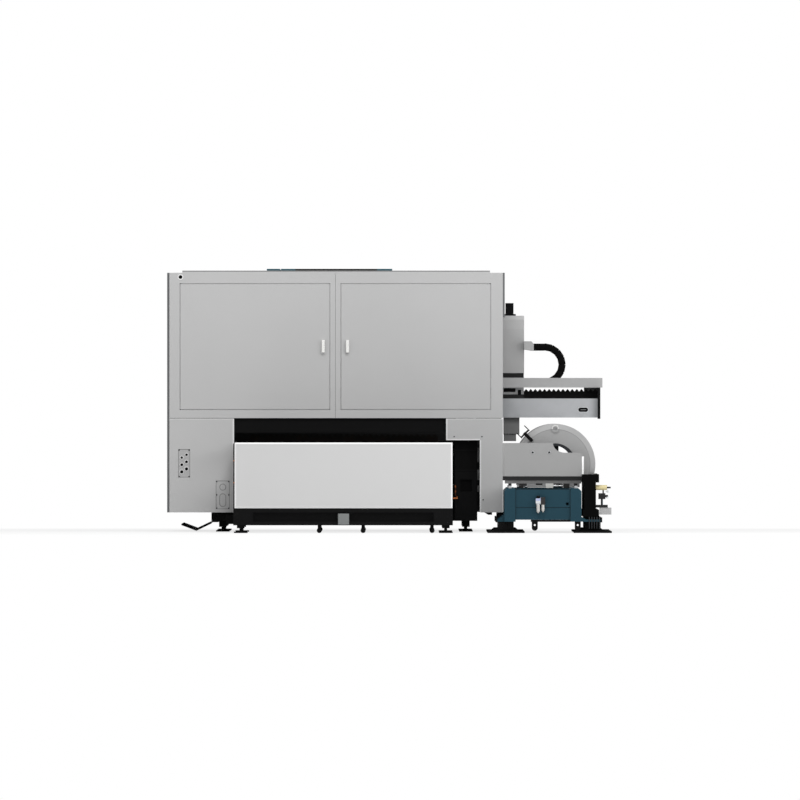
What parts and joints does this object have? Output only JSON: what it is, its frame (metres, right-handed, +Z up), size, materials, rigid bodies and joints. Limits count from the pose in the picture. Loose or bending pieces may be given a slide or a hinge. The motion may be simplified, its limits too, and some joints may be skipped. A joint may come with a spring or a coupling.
{
  "type": "laser cutting machine",
  "caption": "Enclosed sheet laser cutting machine with an exchange table station, a gantry that reaches through the cabin side and a side tube unit with a feed chuck.",
  "frame": {"origin": "centre of the machine's plan box, on the floor", "axes": "+X towards the tube unit, +Y from the exchange station to the cabin's far end, +Z up"},
  "size_m": [3.706, 7.6, 2.201],
  "materials": {
    "cabin_grey": "semi-gloss powder coat",
    "side_grey": "semi-gloss powder coat",
    "panel_white": "semi-gloss powder coat",
    "frame_black": "satin black paint",
    "teal_paint": "semi-gloss paint",
    "rail_steel": "ground steel",
    "chuck_steel": "turned steel",
    "dark_steel": "dark phosphated steel",
    "handle_cream": "polished",
    "beam_silver": "painted silver",
    "cover_grey": "satin paint",
    "chain_black": "moulded",
    "bellows_black": "coated fabric",
    "apron_grey": "rubber",
    "motor_black": "satin",
    "slat_steel": "scaled steel",
    "window_glass": "tinted laser glass",
    "stop_red": "moulded",
    "hose_orange": "polyurethane hose",
    "gear_grey": "cast",
    "air_white": "moulded",
    "valve_beige": "plated",
    "panel_black": "moulded"
  },
  "bodies": {
    "machine": {"bed_frame": "frame_black", "guide_rails": "rail_steel", "levelling_feet": "frame_black", "side_gutter": "frame_black", "cabin_frame": "frame_black", "end_walls": "cabin_grey", "hinge_pins": "rail_steel", "lower_panels": "cabin_grey", "entry_plates": "cabin_grey", "left_side_wall": "side_grey", "right_side_wall": "side_grey", "far_end_wall": "cabin_grey", "roof_panel": "cabin_grey", "roof_hood": "teal_paint", "operator_panel": "panel_black", "air_line": "hose_orange", "station_frame": "frame_black", "station_end_panel": "panel_white", "drive_gearbox": "gear_grey", "transport_glides": "dark_steel", "tube_bed": "teal_paint", "tie_brackets": "frame_black", "side_beam": "frame_black", "tube_feet": "frame_black", "bed_lugs": "frame_black", "air_unit": "air_white", "valve_set": "valve_beige", "front_chuck_housing": "chuck_steel"},
    "left_leaf": {"left_door": "cabin_grey", "left_door_handle": "handle_cream"},
    "right_leaf": {"right_door": "cabin_grey", "right_door_handle": "handle_cream"},
    "operator_leaf": {"operator_door": "cabin_grey", "door_window": "window_glass"},
    "stop": {"stop_button": "stop_red"},
    "gantry": {"gantry_beam": "beam_silver", "beam_end_caps": "frame_black", "chain_tray": "cover_grey", "drag_chain": "chain_black", "beam_bellows": "bellows_black", "gantry_apron": "apron_grey"},
    "carriage": {"carriage_plate": "dark_steel", "z_housing": "cover_grey", "z_motor": "motor_black"},
    "head": {"cutting_head": "dark_steel"},
    "upper_table": {"upper_pallet": "frame_black", "upper_slats": "slat_steel"},
    "lower_table": {"lower_pallet": "frame_black"},
    "feed": {"chuck_carriage": "dark_steel", "feed_drive": "gear_grey", "chuck_cover": "cover_grey", "chuck_housing": "chuck_steel", "chuck_air_block": "frame_black"},
    "spindle": {"chuck_rotor": "dark_steel"},
    "top_jaw": {"jaw_top": "dark_steel"},
    "right_jaw": {"jaw_right": "dark_steel"},
    "bottom_jaw": {"jaw_bottom": "dark_steel"},
    "left_jaw": {"jaw_left": "dark_steel"},
    "front_spindle": {"front_rotor": "dark_steel"},
    "knob": {"regulator_knob": "motor_black"}
  },
  "joints": [
    {"name": "left_door_hinge", "type": "hinge", "parent": "machine", "child": "left_leaf", "pos_m": [-1.7285, -0.4875, 1.5495], "axis": [0, 0, -1], "range_deg": [0, 105]},
    {"name": "right_door_hinge", "type": "hinge", "parent": "machine", "child": "right_leaf", "pos_m": [0.8405, -0.4875, 1.5495], "axis": [0, 0, 1], "range_deg": [0, 105]},
    {"name": "operator_door_slide", "type": "slide", "parent": "machine", "child": "operator_leaf", "axis": [0, 1, 0], "range_m": [0, 0.95]},
    {"name": "stop_press", "type": "slide", "parent": "machine", "child": "stop", "axis": [1, 0, 0], "range_m": [0, 0.006], "stiffness_N_per_m": 2500},
    {"name": "gantry_slide", "type": "slide", "parent": "machine", "child": "gantry", "axis": [0, 1, 0], "range_m": [-0.15, 2.8]},
    {"name": "carriage_slide", "type": "slide", "parent": "gantry", "child": "carriage", "axis": [1, 0, 0], "range_m": [-2.23, 0.36], "deforming": ["beam_bellows", "drag_chain"]},
    {"name": "head_slide", "type": "slide", "parent": "carriage", "child": "head", "axis": [0, 0, -1], "range_m": [0, 0.25]},
    {"name": "upper_shuttle", "type": "slide", "parent": "machine", "child": "upper_table", "axis": [0, -1, 0], "range_m": [0, 3.8]},
    {"name": "lower_shuttle", "type": "slide", "parent": "machine", "child": "lower_table", "axis": [0, 1, 0], "range_m": [0, 3.8]},
    {"name": "feed_slide", "type": "slide", "parent": "machine", "child": "feed", "axis": [0, 1, 0], "range_m": [0, 2.9]},
    {"name": "spindle_turn", "type": "hinge", "parent": "feed", "child": "spindle", "pos_m": [1.385, -3.35, 0.571], "axis": [0, 1, 0], "continuous": true},
    {"name": "top_jaw_slide", "type": "slide", "parent": "spindle", "child": "top_jaw", "axis": [0, 0, -1], "range_m": [0, 0.045]},
    {"name": "right_jaw_slide", "type": "slide", "parent": "spindle", "child": "right_jaw", "axis": [-1, 0, 0], "range_m": [0, 0.045]},
    {"name": "bottom_jaw_slide", "type": "slide", "parent": "spindle", "child": "bottom_jaw", "axis": [0, 0, 1], "range_m": [0, 0.045]},
    {"name": "left_jaw_slide", "type": "slide", "parent": "spindle", "child": "left_jaw", "axis": [1, 0, 0], "range_m": [0, 0.045]},
    {"name": "front_turn", "type": "hinge", "parent": "machine", "child": "front_spindle", "pos_m": [1.385, -0.07, 0.571], "axis": [0, 1, 0], "continuous": true},
    {"name": "knob_turn", "type": "hinge", "parent": "machine", "child": "knob", "pos_m": [1.242, -3.765, 0.3], "axis": [0, 0, 1], "continuous": true}
  ],
  "couplings": [
    {"joint": "lower_shuttle", "follows": "upper_shuttle", "ratio": 1},
    {"joint": "front_turn", "follows": "spindle_turn", "ratio": 1},
    {"joint": "right_jaw_slide", "follows": "top_jaw_slide", "ratio": 1},
    {"joint": "bottom_jaw_slide", "follows": "top_jaw_slide", "ratio": 1},
    {"joint": "left_jaw_slide", "follows": "top_jaw_slide", "ratio": 1}
  ]
}
